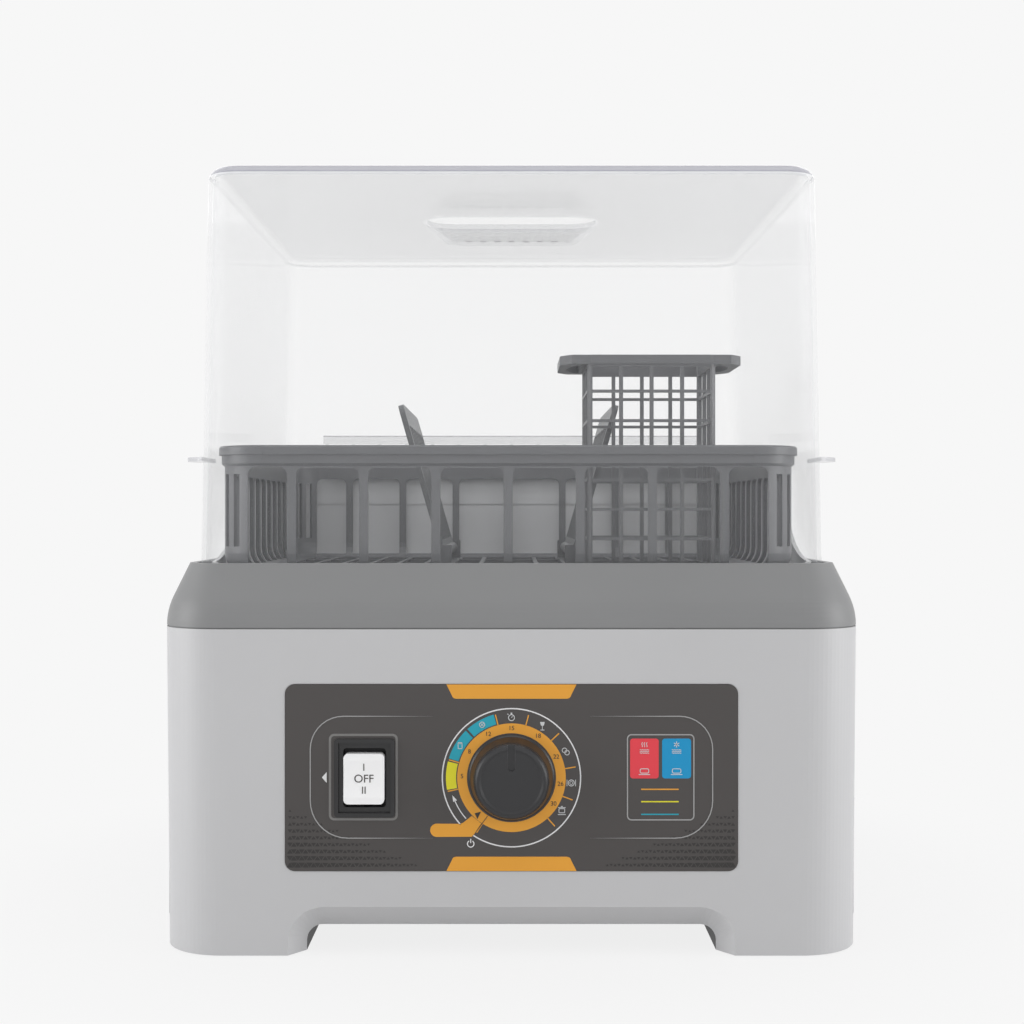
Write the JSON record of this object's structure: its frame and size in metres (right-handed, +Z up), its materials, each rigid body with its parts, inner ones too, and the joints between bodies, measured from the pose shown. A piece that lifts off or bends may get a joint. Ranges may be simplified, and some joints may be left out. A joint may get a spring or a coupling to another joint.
{
  "type": "countertop dishwasher",
  "caption": "Countertop dishwasher with a clear hinged lid, a lift-out dish basket, folding plate racks and a lift-out cutlery basket",
  "frame": {"origin": "centre of the footprint, on the surface the machine stands on", "axes": "+Z up, -Y is the front with the dial and the switch, +X is the user's right"},
  "size_m": [0.4, 0.4194, 0.45],
  "materials": {
    "light_grey": "light grey satin plastic",
    "mid_grey": "mid grey satin plastic",
    "black_plastic": "near-black moulded plastic",
    "black_rubber": "soft black rubber",
    "steel": "plain steel",
    "tub_grey": "light grey moulded plastic",
    "clear_lid": "clear plastic, slightly smoked",
    "panel_black": "gloss black film",
    "knob_black": "satin black",
    "dark_plastic": "dark grey moulded plastic",
    "white_plastic": "white satin plastic",
    "filter_grey": "mid grey moulded plastic",
    "basket_grey": "mid grey moulded plastic",
    "rack_grey": "grey moulded plastic"
  },
  "bodies": {
    "cabinet": {"casing": "light_grey", "base_plate": "black_plastic", "foot_pads": "black_rubber", "base_screws": "steel", "top_frame": "mid_grey", "hinge_pins": "steel", "wash_tub": "tub_grey", "control_panel": "panel_black", "switch_bezel": "knob_black", "switch_body": "dark_plastic", "timer_body": "dark_plastic", "sump": "dark_plastic", "sump_seal": "black_rubber", "strainer_plate": "steel", "spray_riser": "filter_grey", "heater": "steel", "thermostat": "dark_plastic", "pump_volute": "dark_plastic", "pump_motor": "steel", "pump_bracket": "steel", "delivery_hose": "black_rubber", "drain_pump": "dark_plastic", "drain_hose": "black_rubber", "inlet_valve": "white_plastic", "inlet_hose": "black_rubber", "pressure_switch": "dark_plastic", "cord_gland": "black_rubber"},
    "lid_body": {"lid": "clear_lid", "lid_tabs": "clear_lid"},
    "knob": {"timer_knob": "knob_black", "timer_shaft": "steel"},
    "rocker": {"rocker_key": "white_plastic"},
    "spray_rotor": {"spray_arm": "mid_grey"},
    "filter": {"filter_cup": "filter_grey"},
    "pump_rotor": {"pump_impeller": "mid_grey"},
    "basket": {"dish_basket": "basket_grey", "basket_floor": "basket_grey", "rack_rails": "basket_grey"},
    "left_rack": {"rack_left": "rack_grey"},
    "right_rack": {"rack_right": "rack_grey"},
    "cutlery": {"cutlery_basket": "basket_grey", "cutlery_rim": "basket_grey"}
  },
  "joints": [
    {"name": "lid_hinge", "type": "hinge", "parent": "cabinet", "child": "lid_body", "pos_m": [0, 0.186, 0.228], "axis": [-1, 0, 0], "range_deg": [0, 95]},
    {"name": "timer_knob_turn", "type": "hinge", "parent": "cabinet", "child": "knob", "pos_m": [0, -0.1954, 0.1005], "axis": [0, 1, 0], "range_deg": [-149, 122]},
    {"name": "rocker_tip", "type": "hinge", "parent": "cabinet", "child": "rocker", "pos_m": [-0.0822, -0.1909, 0.1005], "axis": [1, 0, 0], "range_deg": [-10, 10]},
    {"name": "spray_arm_spin", "type": "hinge", "parent": "cabinet", "child": "spray_rotor", "pos_m": [0, 0, 0.193], "axis": [0, 0, 1], "continuous": true},
    {"name": "pump_rotor_spin", "type": "hinge", "parent": "cabinet", "child": "pump_rotor", "pos_m": [0, 0.07, 0.09], "axis": [0, 1, 0], "continuous": true},
    {"name": "filter_turn", "type": "hinge", "parent": "cabinet", "child": "filter", "pos_m": [0.066, 0, 0.12], "axis": [0, 0, 1], "range_deg": [0, 90]},
    {"name": "dish_basket_lift", "type": "slide", "parent": "cabinet", "child": "basket", "axis": [0, 0, 1], "range_m": [0, 0.06]},
    {"name": "cutlery_basket_lift", "type": "slide", "parent": "basket", "child": "cutlery", "axis": [0, 0, 1], "range_m": [0, 0.03]},
    {"name": "rack_left_fold", "type": "hinge", "parent": "basket", "child": "left_rack", "pos_m": [-0.044, 0.006, 0.2233], "axis": [0, -1, 0], "range_deg": [0, 62]},
    {"name": "rack_right_fold", "type": "hinge", "parent": "basket", "child": "right_rack", "pos_m": [0.04, 0.006, 0.2233], "axis": [0, 1, 0], "range_deg": [0, 62]}
  ]
}
